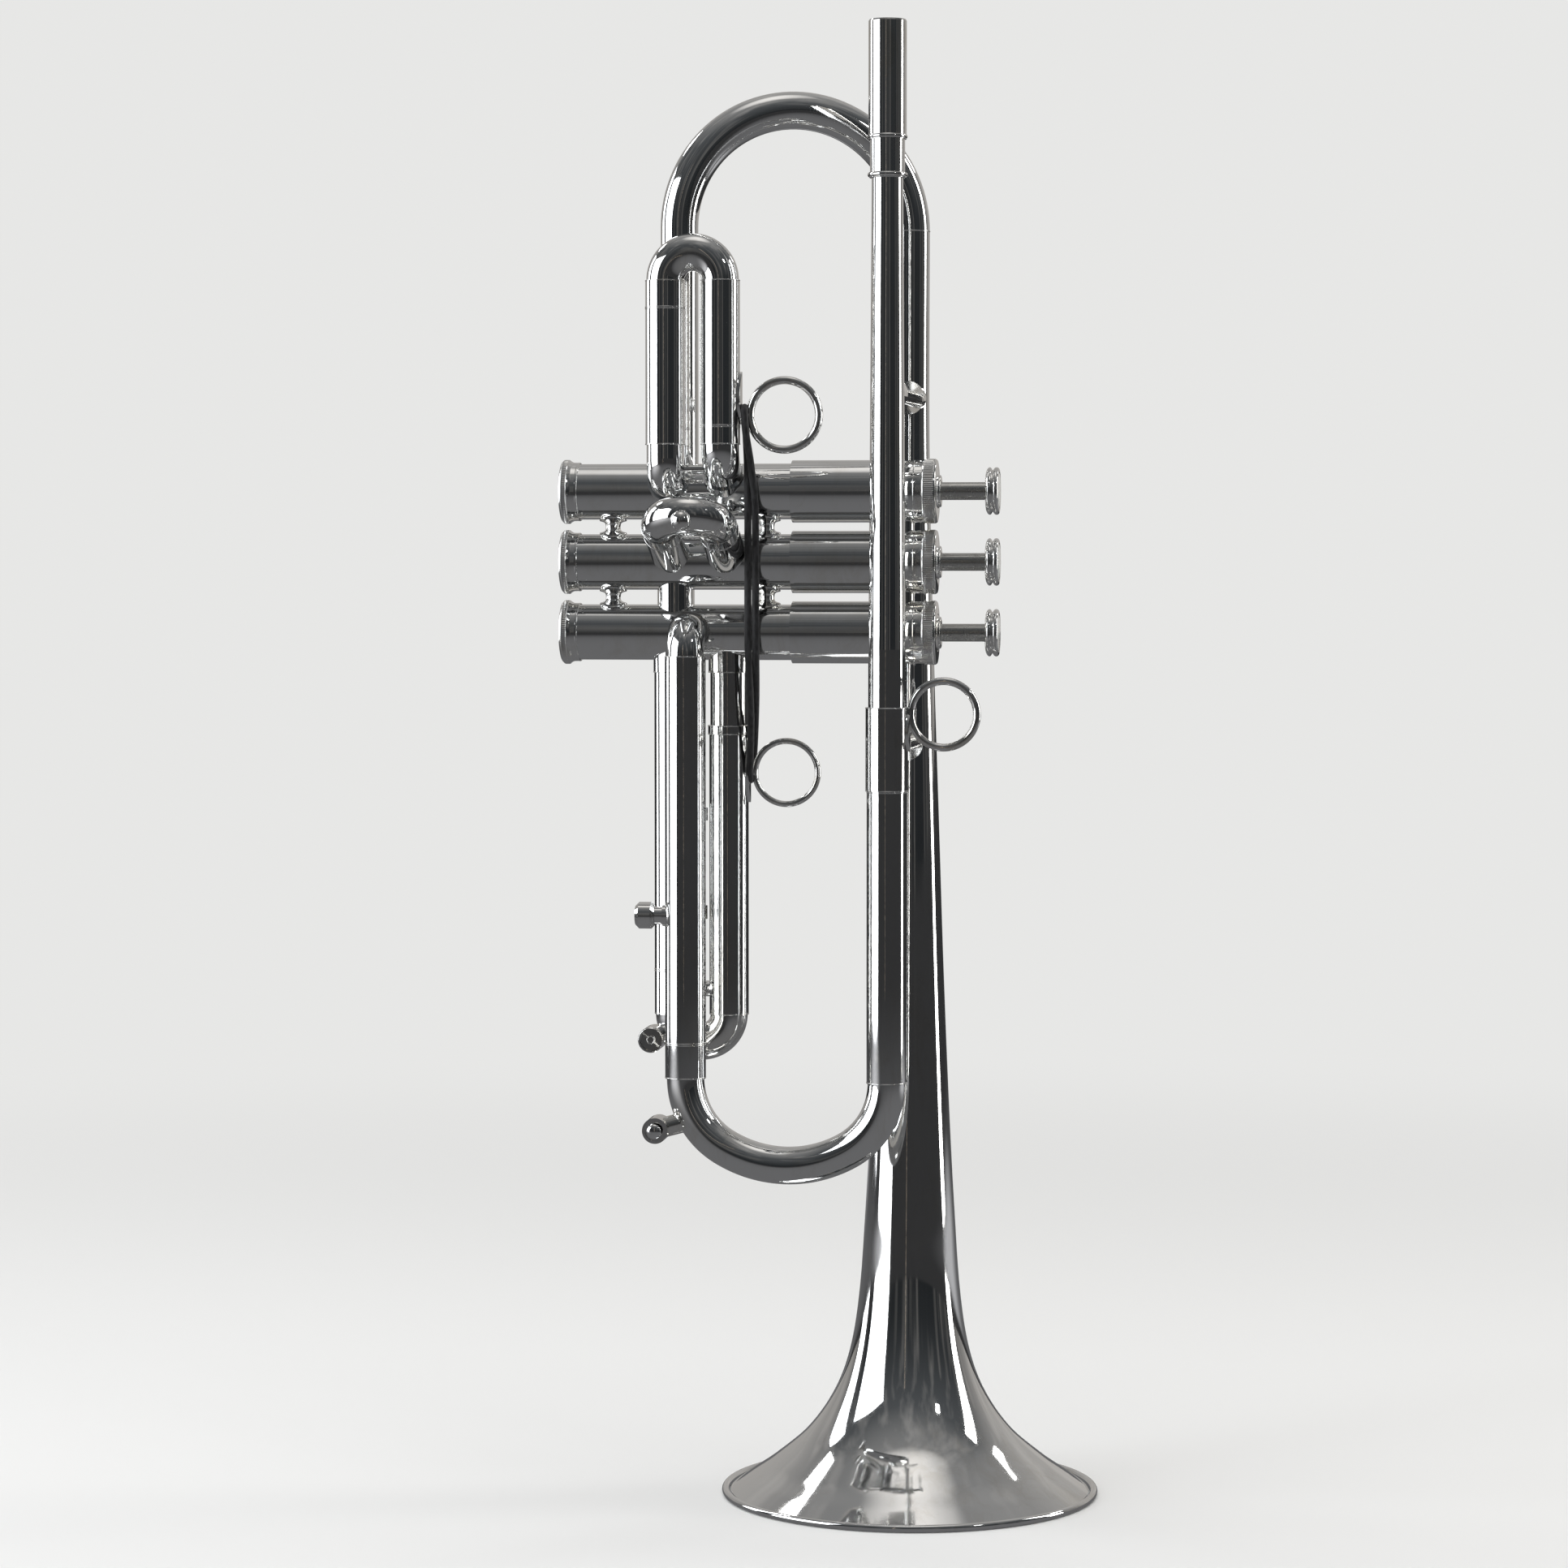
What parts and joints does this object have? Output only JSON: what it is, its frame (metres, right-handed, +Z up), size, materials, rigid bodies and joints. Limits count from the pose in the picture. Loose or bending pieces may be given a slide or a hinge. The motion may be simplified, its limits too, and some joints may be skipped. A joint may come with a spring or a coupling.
{
  "type": "trumpet",
  "caption": "Piston-valve trumpet in silver plate, standing on its bell, with working valves, tuning slides and push-button water keys.",
  "frame": {"origin": "middle of the bell's rim plane, on the bell's axis, where the trumpet stands on its bell", "axes": "+Z up the bell's axis to the mouthpiece receiver, +X towards the finger buttons, -Y towards the leadpipe side"},
  "size_m": [0.1753, 0.1375, 0.4833],
  "materials": {
    "silver_plate": "polished silver plate over brass",
    "bright_silver": "polished silver plate, turned and knurled parts",
    "piston_alloy": "lapped nickel alloy",
    "spring_steel": "drawn wire",
    "guide_brass": "machined brass",
    "pearl": "mother-of-pearl inlay"
  },
  "bodies": {
    "horn": {"bell": "silver_plate", "bell_rim_wire": "bright_silver", "bell_bow": "silver_plate", "bell_braces": "bright_silver", "mouthpiece_receiver": "bright_silver", "leadpipe": "silver_plate", "leadpipe_ferrule": "bright_silver", "leadpipe_slide_tube": "silver_plate", "pinky_ring": "bright_silver", "valve_casing_1": "silver_plate", "valve_casing_2": "silver_plate", "valve_casing_3": "silver_plate", "casing_braces": "bright_silver", "crossover_tubes": "silver_plate", "top_caps": "bright_silver", "bottom_caps": "bright_silver", "valve_guides": "guide_brass", "valve_knuckles": "silver_plate", "slide_braces": "bright_silver", "first_slide_outer_tube": "silver_plate", "first_slide_fixed_tube": "silver_plate", "second_slide_outer_tubes": "silver_plate", "third_slide_outer_tube": "silver_plate", "third_slide_fixed_tube": "silver_plate", "stop_rod_eyelet": "bright_silver", "main_slide_outer_tube": "silver_plate", "lyre_holder": "bright_silver"},
    "lyre_clamp_screw": {"lyre_screw": "bright_silver"},
    "valve_1": {"piston_1": "piston_alloy", "valve_stem_1": "piston_alloy", "finger_button_1": "bright_silver", "button_inlay_1": "pearl", "valve_spring_1": "spring_steel"},
    "valve_2": {"piston_2": "piston_alloy", "valve_stem_2": "piston_alloy", "finger_button_2": "bright_silver", "button_inlay_2": "pearl", "valve_spring_2": "spring_steel"},
    "valve_3": {"piston_3": "piston_alloy", "valve_stem_3": "piston_alloy", "finger_button_3": "bright_silver", "button_inlay_3": "pearl", "valve_spring_3": "spring_steel"},
    "main_slide": {"main_slide_bow": "silver_plate", "main_slide_sleeve": "silver_plate", "main_slide_inner_tube": "silver_plate", "main_water_key": "bright_silver"},
    "main_water_button": {"main_water_key_button": "bright_silver"},
    "first_slide": {"first_slide_crook": "silver_plate", "first_slide_sleeve": "silver_plate", "first_slide_inner_tube": "silver_plate", "first_slide_ring": "bright_silver"},
    "second_slide": {"second_slide_crook": "silver_plate", "second_slide_inner_tubes": "silver_plate"},
    "third_slide": {"third_slide_crook": "silver_plate", "third_slide_sleeve": "silver_plate", "third_slide_inner_tube": "silver_plate", "third_slide_ring": "bright_silver", "third_water_key": "bright_silver"},
    "third_water_button": {"third_water_key_button": "bright_silver"}
  },
  "joints": [
    {"name": "valve_1_press", "type": "slide", "parent": "horn", "child": "valve_1", "axis": [-1, 0, 0], "range_m": [0, 0.0143], "stiffness_N_per_m": 120, "springref_m": -0.012, "deforming": ["valve_spring_1"]},
    {"name": "valve_2_press", "type": "slide", "parent": "horn", "child": "valve_2", "axis": [-1, 0, 0], "range_m": [0, 0.0143], "stiffness_N_per_m": 120, "springref_m": -0.012, "deforming": ["valve_spring_2"]},
    {"name": "valve_3_press", "type": "slide", "parent": "horn", "child": "valve_3", "axis": [-1, 0, 0], "range_m": [0, 0.0143], "stiffness_N_per_m": 120, "springref_m": -0.012, "deforming": ["valve_spring_3"]},
    {"name": "main_slide_pull", "type": "slide", "parent": "horn", "child": "main_slide", "axis": [0, 0, -1], "range_m": [0, 0.045]},
    {"name": "first_slide_pull", "type": "slide", "parent": "horn", "child": "first_slide", "axis": [0, 0, 1], "range_m": [0, 0.025]},
    {"name": "second_slide_pull", "type": "slide", "parent": "horn", "child": "second_slide", "axis": [0, -0.9272, 0.3746], "range_m": [0, 0.012]},
    {"name": "third_slide_pull", "type": "slide", "parent": "horn", "child": "third_slide", "axis": [0, 0, -1], "range_m": [0, 0.028]},
    {"name": "main_water_key_press", "type": "slide", "parent": "main_slide", "child": "main_water_button", "axis": [0, 1, 0], "range_m": [0, 0.002], "stiffness_N_per_m": 400, "springref_m": -0.001},
    {"name": "third_water_key_press", "type": "slide", "parent": "third_slide", "child": "third_water_button", "axis": [0, -1, 0], "range_m": [0, 0.002], "stiffness_N_per_m": 400, "springref_m": -0.001},
    {"name": "lyre_screw_turn", "type": "hinge", "parent": "horn", "child": "lyre_clamp_screw", "pos_m": [-0.0825, -0.043, 0.1962], "axis": [-1, 0, 0], "continuous": true}
  ]
}
